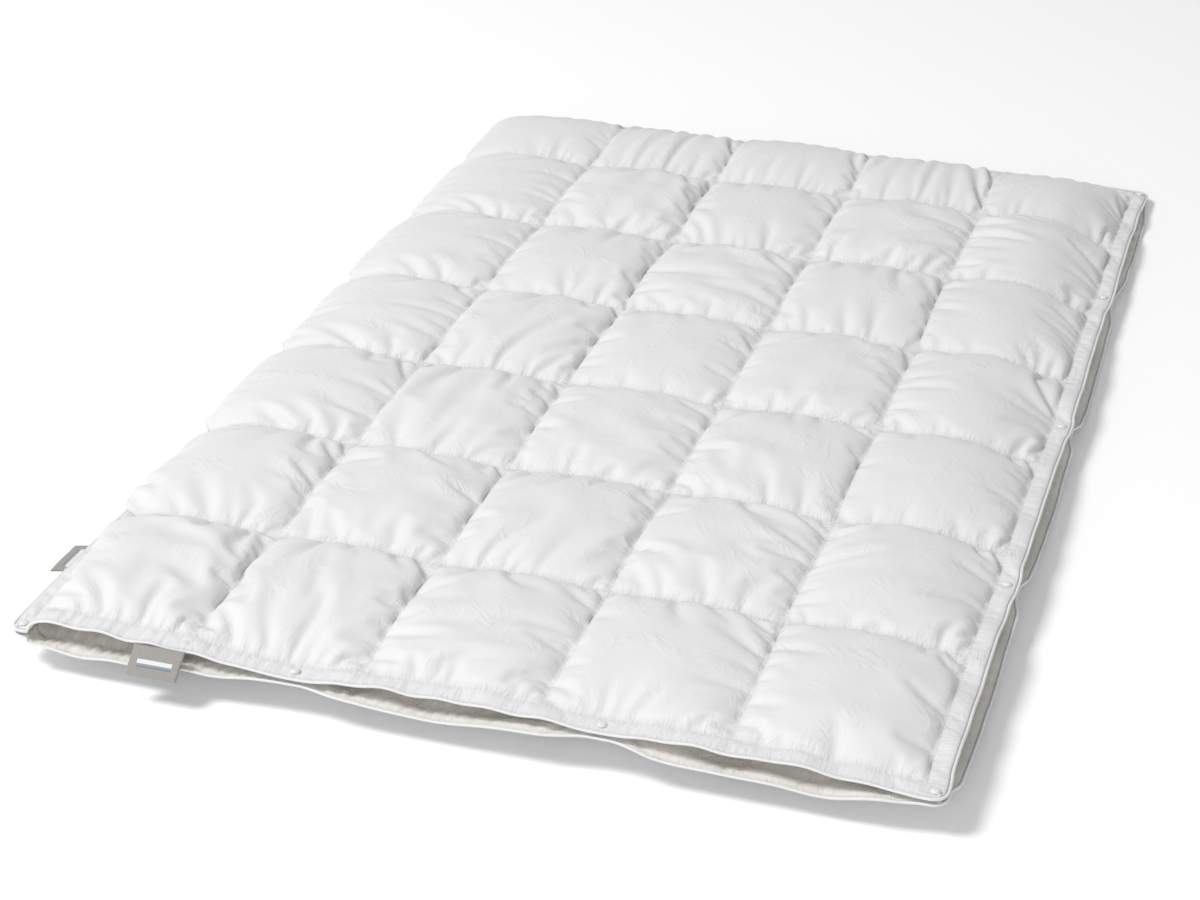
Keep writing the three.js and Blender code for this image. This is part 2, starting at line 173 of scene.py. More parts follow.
def make_camera():
    azimuth = math.radians(CAMERA_AZIMUTH)
    elevation = math.radians(CAMERA_ELEVATION)
    level = math.cos(elevation)
    back = Vector((math.sin(azimuth) * level, -math.cos(azimuth) * level, math.sin(elevation)))
    camera = bpy.data.objects.new("camera", bpy.data.cameras.new("camera"))
    bpy.context.scene.collection.objects.link(camera)
    camera.location = LOOK_AT + back * CAMERA_DISTANCE
    camera.rotation_euler = back.to_track_quat("Z", "Y").to_euler()
    camera.data.lens = CAMERA_LENS
    camera.data.sensor_width = 36
    bpy.context.scene.camera = camera


make_camera()


# ---- How the quilts lie ----
def smooth(t):
    t = np.clip(t, 0, 1)
    return t * t * (3 - 2 * t)


def stud_places(half, count):
    return (half - FLANGE / 2) * np.linspace(-1, 1, count)


STUDS_X = stud_places(HALF_WIDTH, STUDS_ACROSS)
STUDS_Y = stud_places(HALF_LENGTH, STUDS_ALONG)
PLACES = {"near": STUDS_X, "far": STUDS_X, "left": STUDS_Y, "right": STUDS_Y}


def edge_at(side, s):
    """The snapping height, drawing in, lift and drop of the edge at places s along a side."""
    places, edge = PLACES[side], EDGES[side]
    k = np.clip(np.searchsorted(places, s, side="right") - 1, 0, len(places) - 2)
    start, end = places[k] + STUD_FLAT, places[k + 1] - STUD_FLAT
    t = np.clip((s - start) / (end - start), 0, 1)
    height, drawn_in = np.array(edge["height"]), np.array(edge["drawn_in"])
    lift, drop, peak = (np.array(column)[k] for column in zip(*edge["mouths"]))
    opening = np.sin(math.pi * t ** (math.log(0.5) / np.log(peak)))
    return (
        height[k] + (height[k + 1] - height[k]) * smooth(t),
        drawn_in[k] + (drawn_in[k + 1] - drawn_in[k]) * smooth(t),
        lift * opening,
        drop * opening,
    )


def hem_height(side, s, layer):
    height, _, lift, drop = edge_at(side, s)
    return height + layer * HALF_STACK + (lift if layer > 0 else -drop)


def middle_height(x, y, layer):
    """Height of the middle of the upper (+1) or lower (-1) quilt over flat places x, y."""
    inside = UPPER_SEAM_HEIGHT if layer > 0 else LOWER_SEAM_HEIGHT
    distance = {
        "near": FIELD_Y + y,
        "far": FIELD_Y - y,
        "left": FIELD_X + x,
        "right": FIELD_X - x,
    }
    pull = {side: 1 - smooth(d / EDGES[side]["fade"]) for side, d in distance.items()}
    height = inside
    for side, s in (("near", x), ("far", x), ("left", y), ("right", y)):
        height = height + pull[side] * (hem_height(side, s, layer) - inside)
    for end in ("near", "far"):
        for flank, corner in (("left", -HALF_WIDTH), ("right", HALF_WIDTH)):
            at_corner = hem_height(end, np.array(corner), layer) - inside
            height = height - pull[end] * pull[flank] * at_corner
    return height


def inside_share(x, y):
    """0 on the outer seams, 1 well inside."""
    across = np.minimum(FIELD_X - x, FIELD_X + x)
    along = np.minimum(FIELD_Y - y, FIELD_Y + y)
    return smooth(across / (BOX_WIDTH / 2)) * smooth(along / (BOX_LENGTH / 2))


def laid(x, y):
    """Flat cloth to the outline it lies in: the edges drawn in and the corners rounded."""
    u, v = x / WIDTH + 0.5, y / LENGTH + 0.5
    drawn = {
        side: edge_at(side, s)[1]
        for side, s in (("left", y), ("right", y), ("near", x), ("far", x))
    }
    x_laid = x + drawn["left"] * (1 - u) ** DRAW_POWER - drawn["right"] * u**DRAW_POWER
    y_laid = y + drawn["near"] * (1 - v) ** DRAW_POWER - drawn["far"] * v**DRAW_POWER
    dx = np.maximum(np.abs(x) - (HALF_WIDTH - CORNER_RADIUS), 0)
    dy = np.maximum(np.abs(y) - (HALF_LENGTH - CORNER_RADIUS), 0)
    reach = np.maximum(np.hypot(dx, dy), 1e-9)
    cut = 1 - np.maximum(dx, dy) / reach
    cut = np.where(np.minimum(dx, dy) > 0, cut, 0)
    return x_laid - np.sign(x) * dx * cut, y_laid - np.sign(y) * dy * cut


def ripple(lengths, rng, waves=14):
    """A smooth random surface over the cloth, about 1 high, of waves of these lengths."""
    total = np.zeros(FLAT_X.shape)
    for _ in range(waves):
        length = rng.uniform(*lengths)
        turn, phase = rng.uniform(0, 2 * math.pi, 2)
        along = FLAT_X * math.cos(turn) + FLAT_Y * math.sin(turn)
        total += np.sin(2 * math.pi * along / length + phase)
    return total * math.sqrt(2 / waves)


# ---- The grid of the cloth ----
def grid_lines(half, boxes, cells):
    field = half - FLANGE
    hem = np.linspace(-half, -field, HEM_CELLS + 1)
    inner = np.linspace(-field, field, boxes * cells + 1)
    return np.concatenate([hem[:-1], inner, -hem[-2::-1]])


LINES_X = grid_lines(HALF_WIDTH, COLUMNS, CELLS_ACROSS)
LINES_Y = grid_lines(HALF_LENGTH, ROWS, CELLS_ALONG)
SEAMS_X = HEM_CELLS + CELLS_ACROSS * np.arange(COLUMNS + 1)
SEAMS_Y = HEM_CELLS + CELLS_ALONG * np.arange(ROWS + 1)
FLAT_X, FLAT_Y = np.meshgrid(LINES_X, LINES_Y)
FROM_LEFT = FLAT_X + HALF_WIDTH - FLANGE  # distance from the left outer seam
FROM_NEAR = FLAT_Y + HALF_LENGTH - FLANGE


def seam_distance(lines, seams):
    """Distance of each line of the grid from the nearest seam or edge."""
    marks = np.concatenate([lines[seams], lines[[0, -1]]])
    return np.abs(lines[:, None] - marks[None, :]).min(1)


def box_number(lines, half, box, boxes):
    return np.clip(((lines + half - FLANGE) / box).astype(int), 0, boxes - 1)


AWAY_X = seam_distance(LINES_X, SEAMS_X)
AWAY_Y = seam_distance(LINES_Y, SEAMS_Y)
BOX_X = box_number(LINES_X, HALF_WIDTH, BOX_WIDTH, COLUMNS)
BOX_Y = box_number(LINES_Y, HALF_LENGTH, BOX_LENGTH, ROWS)
IN_HEM = (np.abs(FLAT_X) > FIELD_X + 1e-6) | (np.abs(FLAT_Y) > FIELD_Y + 1e-6)


def stud_spots():
    """Flat places of the press studs, anticlockwise from the near left corner."""
    near = [(x, STUDS_Y[0]) for x in STUDS_X]
    right = [(STUDS_X[-1], y) for y in STUDS_Y[1:-1]]
    far = [(x, STUDS_Y[-1]) for x in STUDS_X[::-1]]
    left = [(STUDS_X[0], y) for y in STUDS_Y[-2:0:-1]]
    return near + right + far + left


def held_points():
    """The seams, the edge, and the hem under each stud's cap keep their place."""
    held = np.zeros(FLAT_X.shape, bool)
    held[np.ix_(SEAMS_Y, np.arange(SEAMS_X[0], SEAMS_X[-1] + 1))] = True
    held[np.ix_(np.arange(SEAMS_Y[0], SEAMS_Y[-1] + 1), SEAMS_X)] = True
    held[[0, -1]] = True
    held[:, [0, -1]] = True
    for x, y in stud_spots():
        held |= np.hypot(FLAT_X - x, FLAT_Y - y) < CAP_HOLD
    return held


HELD = held_points()


# ---- Settling the cloth ----
def pull(a, b, rest, free_a, free_b, stretch, squeeze):
    """Brings points a and b towards the distance that they have in the cloth."""
    gap = b - a
    length = np.sqrt(np.einsum("ijk,ijk->ij", gap, gap))
    give = np.where(length > rest, stretch, squeeze)
    share = give * (length - rest) / (length * (free_a + free_b) + 1e-9)
    gap *= share[..., None]
    a += gap * free_a[..., None]
    b -= gap * free_b[..., None]


def pull_threads(p, free, rest_x, rest_y, rest_diagonal):
    """One pass over the threads across, the threads along and both diagonals."""
    for k in (0, 1):
        pull(p[:, k:-1:2], p[:, k + 1 :: 2], rest_x[:, k::2], free[:, k:-1:2], free[:, k + 1 :: 2], 1, 1)
    for k in (0, 1):
        pull(p[k:-1:2], p[k + 1 :: 2], rest_y[k::2], free[k:-1:2], free[k + 1 :: 2], 1, 1)
    for k in (0, 1):
        near, far, rest = slice(k, -1, 2), slice(k + 1, None, 2), rest_diagonal[k::2]
        pull(p[near, :-1], p[far, 1:], rest, free[near, :-1], free[far, 1:], SHEAR, SHEAR)
        pull(p[near, 1:], p[far, :-1], rest, free[near, 1:], free[far, :-1], SHEAR, SHEAR)


def bulge(p):
    """How far each point stands out from the middle of its neighbours."""
    out = np.zeros_like(p)
    out[:, 1:-1] += (p[:, 2:] + p[:, :-2]) / 2 - p[:, 1:-1]
    out[1:-1] += (p[2:] + p[:-2]) / 2 - p[1:-1]
    return out


def face_normals(p):
    normal = np.cross(np.gradient(p, axis=1), np.gradient(p, axis=0))
    return normal / (np.linalg.norm(normal, axis=2, keepdims=True) + 1e-12)


def finer(p):
    """The same cloth on a grid twice as fine."""
    rows, columns, _ = p.shape
    fine = np.empty((2 * rows - 1, 2 * columns - 1, 3), np.float32)
    fine[::2, ::2] = p
    fine[::2, 1::2] = (p[:, :-1] + p[:, 1:]) / 2
    fine[1::2] = (fine[:-1:2] + fine[2::2]) / 2
    return fine


def settle(start, base, room, bottom, top, slack, finest, rng):
    """Blows up a cover over its down until it hangs between its seams. The covers are solved face
    up: base is where the down starts and room how far it rises; bottom and top stop the cloth."""
    p = None
    for stride in STRIDES:
        every = (slice(None, None, stride), slice(None, None, stride))
        held = HELD[every]
        free = np.where(held, 0, 1).astype(np.float32)
        place = start[every]
        away_x, away_y = AWAY_X[::stride], AWAY_Y[::stride]
        near_x = SEAM_SLACK * np.exp(-away_x / SEAM_SLACK_REACH)
        near_y = SEAM_SLACK * np.exp(-away_y / SEAM_SLACK_REACH)
        spare = slack[every]
        spare_x = np.clip(away_y / GATHER, 0, 1)[:, None] * (spare + near_y[:, None])
        spare_y = np.clip(away_x / GATHER, 0, 1)[None, :] * (spare + near_x[None, :])
        step_x, step_y = np.diff(LINES_X[::stride]), np.diff(LINES_Y[::stride])
        rest_x = (step_x[None, :] * (1 + spare_x[:, 1:])).astype(np.float32)
        rest_y = (step_y[:, None] * (1 + spare_y[1:])).astype(np.float32)
        rest_diagonal = np.hypot(
            (rest_x[1:] + rest_x[:-1]) / 2, (rest_y[:, 1:] + rest_y[:, :-1]) / 2
        )
        p = place.copy() if p is None else finer(p)
        p[held] = place[held]
        p[~held] += rng.normal(0, UNEVEN * stride / 2, p[~held].shape)
        before = p.copy()
        still = place[held]
        low, high, least, most = base[every], room[every], bottom[every], top[every]
        bend = (BENDING * free)[..., None]
        for sweep in range(SWEEPS[stride]):
            if sweep % 3 == 0:
                normal = face_normals(p)
            force = PUSH * stride * np.clip(1 - (p[..., 2] - low) / high, WEIGHT, 1)
            moved = (p - before) * DAMPING
            before[:] = p
            p += (moved + normal * force[..., None]) * free[..., None]
            pull_threads(p, free, rest_x, rest_y, rest_diagonal)
            p -= bend * bulge(bulge(p))
            np.clip(p[..., 2], least, most, out=p[..., 2])
            p[held] = still
        if stride == finest:
            return p


def droop_share(across, along):
    """1 beside the left and far outer seams, where the boxes bulge out over the hem."""
    left = (1 - smooth(FROM_LEFT / DROOP_REACH)) * smooth(FROM_NEAR / DROOP_REACH)
    far = 1 - smooth((FIELD_Y - FLAT_Y) / DROOP_REACH)
    return np.maximum(left * along, far * across)


def loose_edges():
    """The sides with mouths that show: name, place along it, and distance out from the seam."""
    yield "near", FLAT_X, -FIELD_Y - FLAT_Y
    yield "right", FLAT_Y, FLAT_X - HALF_WIDTH + FLANGE


def quilt_lie(layer, rng):
    """Where a quilt's seams and edge lie: x, y and the height of its middle."""
    shift = inside_share(FLAT_X, FLAT_Y)
    x, y = laid(FLAT_X, FLAT_Y)
    for stray, lengths in STRAY:
        x = x + shift * stray * ripple(lengths, rng)
        y = y + shift * stray * ripple(lengths, rng)
    middle = middle_height(FLAT_X, FLAT_Y, layer)
    if layer > 0:
        across = np.sin(math.pi * FROM_LEFT / BOX_WIDTH) ** 2
        along = np.sin(math.pi * FROM_NEAR / BOX_LENGTH) ** 2
        middle = middle + BOW * shift * (1 - (1 - across) * (1 - along))
    lowest = np.minimum(middle, LOWEST_MIDDLE)
    for side, s, outward in loose_edges():
        loose = smooth(edge_at(side, s)[3] / OPEN_DROP)
        at_edge = smooth(1 + outward / (2 * FLANGE))
        wave = ripple(EDGE_WAVE_LENGTHS, rng)
        middle = middle + EDGE_WAVE * loose * at_edge * wave
        if side == "near":
            y = y - SPREAD[layer] * loose * at_edge
        if side == "right":
            x = x + SPREAD[layer] * loose * at_edge
    return x, y, np.maximum(middle, lowest)


def box_swell(boxes):
    """0 at the seams, 1 in the middle of a box, over distances counted in boxes."""
    return 1 - np.abs(2 * (boxes % 1) - 1) ** DOME_POWER


def settled_cover(layer, side, lie, fullness, slack, finest, rng):
    """The top (+1) or bottom (-1) cover of the upper (+1) or lower (-1) quilt, as a grid of points."""
    x, y, middle = lie
    on_top = layer > 0 and side > 0
    on_floor = layer < 0 and side < 0
    flat_middle = middle_height(FLAT_X, FLAT_Y, layer)
    other = middle_height(FLAT_X, FLAT_Y, -layer)
    between = (np.abs(flat_middle - other) - 2 * HALF_HEM - QUILT_CLEARANCE) / 2
    rise = side * (middle - flat_middle)
    if on_top:
        room, top = LOFT + FILL - rise, np.full(x.shape, CREST + FILL)
    elif on_floor:
        room, top = flat_middle - HALF_SEAM, np.full(x.shape, -FLOOR_GAP)
    else:
        room = between - rise
        top = side * flat_middle + HALF_HEM + between
    across, along = box_swell(FROM_LEFT / BOX_WIDTH), box_swell(FROM_NEAR / BOX_LENGTH)
    lumps = 1 + LUMPS * ripple(LUMP_LENGTHS, rng)
    swell = DOME_RIM + (1 - DOME_RIM) * across * along
    room = np.maximum(room * (swell * fullness[BOX_Y][:, BOX_X] * lumps), LEAST_ROOM)
    droop = np.zeros(x.shape)
    if on_top:
        droop = droop_share(across, along)
        room += DROOP_FILL * droop * np.maximum(top - side * middle - HALF_SEAM - room, 0)
    room = np.where(IN_HEM, HEM_ROOM, room)
    half_gap = np.where(IN_HEM, HALF_HEM - HEM_DIP, HALF_SEAM)
    edge = np.zeros(x.shape, bool)
    edge[[0, -1]] = edge[:, [0, -1]] = True
    base = side * middle + np.where(edge, 0, half_gap)
    bump = START_BUMP * np.where(HELD, 0, room)
    start = np.stack([x, y, base + bump], -1).astype(np.float32)
    base, room, top = (a.astype(np.float32) for a in (base, room, top))
    if on_floor:
        slack = slack * PRESSED
    spare = np.where(IN_HEM, HEM_SLACK, slack[BOX_Y][:, BOX_X] + droop * DROOP_SLACK)
    bottom = (side * middle + COVER_GAP).astype(np.float32)
    p = settle(start, base, room, bottom, np.maximum(top, base), spare, finest, rng)
    p[..., 2] *= side
    if on_top:
        lean_out(p)
    return p


def lean_out(p):
    """Tips the left row of boxes over the hem, the more the higher the cloth stands above it."""
    above = p[..., 2] - p[:, :1, 2]
    share = smooth(above / LEAN_RISE) * (1 - smooth(FROM_LEFT / LEAN_REACH))
    near_end = smooth((FROM_NEAR - LEAN_START) / LEAN_RUN)
    p[..., 0] -= LEAN * share * np.where(FROM_LEFT > 0, near_end, 0)


# ---- Meshes ----
def mesh_object(name, points, faces):
    mesh = bpy.data.meshes.new(name)
    mesh.from_pydata([tuple(p) for p in np.asarray(points).tolist()], [], faces)
    mesh.shade_smooth()
    made = bpy.data.objects.new(name, mesh)
    bpy.context.scene.collection.objects.link(made)
    return made


def quads(index):
    """Quads over a grid of vertex numbers, facing the side where it runs anticlockwise."""
    corners = (index[:-1, :-1], index[:-1, 1:], index[1:, 1:], index[1:, :-1])
    return np.stack(corners, -1).reshape(-1, 4)


def rim_loop(index):
    """The outermost vertex numbers of a grid, anticlockwise seen from the front."""
    return np.concatenate([index[0, :-1], index[:-1, -1], index[-1, :0:-1], index[:0:-1, 0]])


def quilt_mesh(name, top, bottom):
    """Both covers as one closed skin. The bottom's grid is half as fine, so that along the rim its
    faces take in the vertex that lies between two of its own."""
    rows, columns, _ = top.shape
    upper = np.arange(rows * columns).reshape(rows, columns)
    lower = upper[::2, ::2].copy()
    inner = np.arange(lower[1:-1, 1:-1].size).reshape(lower[1:-1, 1:-1].shape)
    lower[1:-1, 1:-1] = rows * columns + inner
    rim = rim_loop(upper)
    after, second = np.roll(rim, -1), np.roll(rim, -2)
    between = {(int(rim[k]), int(second[k])): int(after[k]) for k in range(0, len(rim), 2)}
    between.update({(b, a): middle for (a, b), middle in list(between.items())})
    under = []
    for face in quads(lower)[:, ::-1].tolist():
        full = []
        for a, b in zip(face, face[1:] + face[:1]):
            full.append(a)
            if a < rows * columns and (a, b) in between:
                full.append(between[a, b])
        under.append(full)
    points = np.concatenate([top.reshape(-1, 3), bottom[1:-1, 1:-1].reshape(-1, 3)])
    over = quads(upper).tolist()
    made = mesh_object(name, points, over + under)
    flat = np.stack([FLAT_X, FLAT_Y], -1)
    away = np.stack(np.meshgrid(AWAY_X, AWAY_Y), -1)
    half = (slice(None, None, 2), slice(None, None, 2))
    for map_name, values in (("cloth", flat), ("seams", away)):
        at = np.concatenate([values.reshape(-1, 2), values[half][1:-1, 1:-1].reshape(-1, 2)])
        add_map(made.data, map_name, at, len(over))
    made.data.polygons.foreach_set(
        "material_index", np.repeat([0, 1], [len(over), len(under)]).astype(np.int32)
    )
    return made


MAP_SIZE = 3.2  # metres of cloth across the map
RIBBON_MAP_SIZE = 0.125  # metres of ribbon or cord across its map
UNDER_SHIFT = 6 * BOX_WIDTH  # the bottom cover lies beside the top one on the map


def corner_vertices(mesh):
    """The vertex number of each corner of each face."""
    vertex = np.empty(len(mesh.loops), np.int32)
    mesh.loops.foreach_get("vertex_index", vertex)
    return vertex


def set_map(mesh, name, place):
    layer = mesh.uv_layers.new(name=name)
    layer.uv.foreach_set("vector", place.astype(np.float32).ravel())


def add_map(mesh, name, at, top_faces):
    """A map of the cloth: flat places for "cloth", distances from the seams for "seams"."""
    place = at[corner_vertices(mesh)].astype(np.float32)
    if name == "cloth":
        place += np.array([HALF_WIDTH, HALF_LENGTH], np.float32)
        first_under = mesh.polygons[top_faces].loop_start
        place[first_under:, 0] += UNDER_SHIFT
    set_map(mesh, name, place / MAP_SIZE)


def bend_over_fold(piece):
    """Bakes the piece's placement into its mesh; it is not bent over the fold."""
    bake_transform(piece)


def nodes_named(*starts):
    return sorted(name for name in frame["nodes"] if name.startswith(starts))


def unit(v):
    return v / np.linalg.norm(v, axis=1, keepdims=True)


# ---- Piping ----
PIPING_SIDES = 10
PIPING_OUT = 0.8  # how far the cord's middle stands out from the edge, in its own radii


def piping(name, cover):
    """A cord round the edge. It covers the turn of the cloth."""
    rim = rim_loop(np.arange(cover.shape[0] * cover.shape[1]).reshape(cover.shape[:2]))
    path = cover.reshape(-1, 3)[rim].astype(float)
    ahead = unit(np.roll(path, -1, 0) - np.roll(path, 1, 0))
    out = unit(np.cross(ahead, (0, 0, 1)))
    up = np.cross(out, ahead)
    centre = path + out * (PIPING_RADIUS * PIPING_OUT)
    turn = 2 * math.pi * np.arange(PIPING_SIDES) / PIPING_SIDES
    ring = (
        centre[:, None]
        + PIPING_RADIUS * np.cos(turn)[None, :, None] * out[:, None]
        + PIPING_RADIUS * np.sin(turn)[None, :, None] * up[:, None]
    )
    index = np.arange(len(path) * PIPING_SIDES).reshape(len(path), PIPING_SIDES)
    index = np.concatenate([index, index[:1]])
    index = np.concatenate([index, index[:, :1]], 1)
    made = mesh_object(name, ring.reshape(-1, 3), quads(index).tolist())
    along = np.cumsum(np.linalg.norm(np.diff(path, axis=0, append=path[:1]), axis=1))
    around = 2 * math.pi * PIPING_RADIUS * np.arange(PIPING_SIDES + 1) / PIPING_SIDES
    along_at = np.stack(np.broadcast_arrays(np.append(0, along)[:, None], around[None, :]), -1)
    corners = (along_at[:-1, :-1], along_at[:-1, 1:], along_at[1:, 1:], along_at[1:, :-1])
    set_map(made.data, "ribbon", np.stack(corners, 2).reshape(-1, 2) / RIBBON_MAP_SIZE)
    return made


# ---- Sewing thread ----
STITCH = 0.0042  # from the start of one stitch to the start of the next
STITCH_SHARE = 0.72  # share of it that shows
THREAD_RADIUS = 0.00042


def points_at(line, run, s):
    """Points at distances s along a line whose own points lie at distances run."""
    return np.stack([np.interp(s, run, line[:, k]) for k in range(3)], -1)


def stitches(lines, up):
    """Short raised stitches along each line of points: their points and faces."""
    points, faces = [], []
    for line in lines:
        run = np.concatenate([[0], np.cumsum(np.linalg.norm(np.diff(line, axis=0), axis=1))])
        starts = np.arange(STITCH / 2, run[-1] - STITCH, STITCH)
        a, b = points_at(line, run, starts), points_at(line, run, starts + STITCH * STITCH_SHARE)
        side = np.cross(b - a, up)
        side *= THREAD_RADIUS / np.linalg.norm(side, axis=1, keepdims=True)
        lift = np.array(up) * THREAD_RADIUS
        middle = (a + b) / 2 + lift
        ring = (middle + side, middle + lift, middle - side, middle - lift)
        first = 6 * np.arange(len(a))[:, None] + sum(len(p) for p in points)
        points.append(np.stack([a, b, *ring], 1).reshape(-1, 3))
        for k in range(4):
            m, n = 2 + k, 2 + (k + 1) % 4
            faces += (first + np.array([0, m, n])).tolist() + (first + np.array([1, n, m])).tolist()
    return np.concatenate(points), faces


def quilting_thread(name, cover, side):
    inner_x = slice(SEAMS_X[0], SEAMS_X[-1] + 1)
    inner_y = slice(SEAMS_Y[0], SEAMS_Y[-1] + 1)
    lines = [cover[j, inner_x] for j in SEAMS_Y] + [cover[inner_y, i] for i in SEAMS_X]
    lines += [cover[j, 1:-1] for j in (1, -2)] + [cover[1:-1, i] for i in (1, -2)]
    points, faces = stitches([line.astype(float) for line in lines], (0, 0, side))
    return mesh_object(name, points, faces)


# ---- Press studs ----
def turned(name, profile, middle, segments=40):
    """A round piece from its profile of (radius, height) pairs, which starts and ends on the axis."""
    turn = 2 * math.pi * np.arange(segments) / segments
    rings = profile[1:-1]
    points = [(middle.x, middle.y, middle.z + profile[0][1])]
    for radius, height in rings:
        ring = np.stack([middle.x + radius * np.cos(turn), middle.y + radius * np.sin(turn)], -1)
        points += [(x, y, middle.z + height) for x, y in ring.tolist()]
    points.append((middle.x, middle.y, middle.z + profile[-1][1]))
    index = 1 + np.arange(len(rings) * segments).reshape(len(rings), segments)
    index = np.concatenate([index, index[:, :1]], 1)
    faces = quads(index).tolist()
    last = len(points) - 1
    faces += [[0, b, a] for a, b in zip(index[0, :-1].tolist(), index[0, 1:].tolist())]
    faces += [[last, a, b] for a, b in zip(index[-1, :-1].tolist(), index[-1, 1:].tolist())]
    return mesh_object(name, points, faces)


SNAPPED_HALF = HALF_STACK - HALF_HEM  # from the snapping height to the inside of a hem
CAP_RADIUS = 0.0075
CAP_HEIGHT = 0.003
SOCKET_RADIUS = 0.005
SHANK_RADIUS = 0.002
POST_RADIUS = 0.0019
PLATE_RADIUS = 0.0046
PLATE_HEIGHT = 0.0012
BACK_RADIUS = 0.0052
BACK_HEIGHT = 0.0018
TOUCH = 0.0003  # gap between two pieces that touch
BEVEL = 0.0003
FINE_BEVEL = 0.0002
CAP_BOTTOM = HALF_STACK + HALF_HEM + TOUCH
PLATE_BOTTOM = -SNAPPED_HALF + TOUCH
PLATE_TOP = PLATE_BOTTOM + PLATE_HEIGHT
SOCKET_BOTTOM = PLATE_TOP + TOUCH
SOCKET_TOP = SNAPPED_HALF - TOUCH
SOCKET_ROOF = SOCKET_TOP - 0.0004


def dome(radius, low, high, steps, power=2.4):
    """Points of a flat dome from its rim to its top."""
    turn = np.linspace(0, math.pi / 2, steps)
    r = radius * np.cos(turn) ** (2 / power)
    z = low + (high - low) * np.sin(turn) ** (2 / power)
    return list(zip(r.tolist()[:-1], z.tolist()[:-1])) + [(0.0, high)]


CAP_RIM = CAP_BOTTOM + 0.0007  # top of the cap's straight edge
SOCKET_PROFILE = [
    (0.0, SOCKET_ROOF),
    (POST_RADIUS + TOUCH, SOCKET_ROOF),
    (POST_RADIUS + TOUCH, SOCKET_BOTTOM + BEVEL),
    (POST_RADIUS + 0.0006, SOCKET_BOTTOM),
    (SOCKET_RADIUS - BEVEL, SOCKET_BOTTOM),
    (SOCKET_RADIUS, SOCKET_BOTTOM + BEVEL),
    (SOCKET_RADIUS, SOCKET_TOP - BEVEL),
    (SOCKET_RADIUS - BEVEL, SOCKET_TOP),
    (SHANK_RADIUS, SOCKET_TOP),
    (SHANK_RADIUS, CAP_BOTTOM),
    (CAP_RADIUS - BEVEL, CAP_BOTTOM),
    (CAP_RADIUS, CAP_BOTTOM + FINE_BEVEL),
    (CAP_RADIUS, CAP_RIM),
    (CAP_RADIUS - 0.0004, CAP_RIM + 0.0004),
    (CAP_RADIUS - 0.0013, CAP_RIM + 0.0003),
    *dome(CAP_RADIUS - 0.0015, CAP_RIM + 0.0003, CAP_BOTTOM + CAP_HEIGHT, 9),
]
BACK_TOP = -CAP_BOTTOM
POST_TOP = SOCKET_ROOF - TOUCH
STUD_PROFILE = [
    *[(r, -z) for r, z in dome(BACK_RADIUS, CAP_BOTTOM + 0.0004, CAP_BOTTOM + BACK_HEIGHT, 8)][::-1],
    (BACK_RADIUS, BACK_TOP - 0.0001),
    (BACK_RADIUS - FINE_BEVEL, BACK_TOP),
    (SHANK_RADIUS, BACK_TOP),
    (SHANK_RADIUS, PLATE_BOTTOM),
    (PLATE_RADIUS - FINE_BEVEL, PLATE_BOTTOM),
    (PLATE_RADIUS, PLATE_BOTTOM + FINE_BEVEL),
    (PLATE_RADIUS, PLATE_TOP - FINE_BEVEL),
    (PLATE_RADIUS - FINE_BEVEL, PLATE_TOP),
    (POST_RADIUS - FINE_BEVEL, PLATE_TOP),
    (POST_RADIUS - FINE_BEVEL, PLATE_TOP + 0.0008),
    (POST_RADIUS, PLATE_TOP + 0.0012),
    (POST_RADIUS, POST_TOP - 0.0005),
    (POST_RADIUS - 0.0004, POST_TOP),
    (0.0, POST_TOP),
]


# ---- Labels ----
LABEL_WIDTH = 0.078
LABEL_LENGTH = 0.046
RIBBON = 0.00035  # thickness of the woven ribbon
LABEL_FOLD = 0.0008  # radius of the turn at its free end
FOLD_PRESSED = 0.45  # share of that radius between the two layers at the hinge
LABEL_WAVE = 0.0007  # how far its free end waves
LABEL_TAPER = 0.0004
LABEL_MIDDLE = 0.05  # where its middle and its hinge lie on the map
LABEL_HINGE = 0.002


def ribbon_path():
    """The middle of the folded ribbon, as (out, up): out, round the fold, and back."""
    straight = np.linspace(0, LABEL_LENGTH - LABEL_FOLD - RIBBON, 18)
    turn = np.linspace(math.pi / 2, -math.pi / 2, 9)[1:-1]
    gap = LABEL_FOLD * (FOLD_PRESSED + (1 - FOLD_PRESSED) * straight / straight[-1])
    over = list(zip(straight, gap))
    fold = [(straight[-1] + LABEL_FOLD * math.cos(a), LABEL_FOLD * math.sin(a)) for a in turn]
    under = [(out, -up) for out, up in over[::-1]]
    return np.array(over + fold + under)


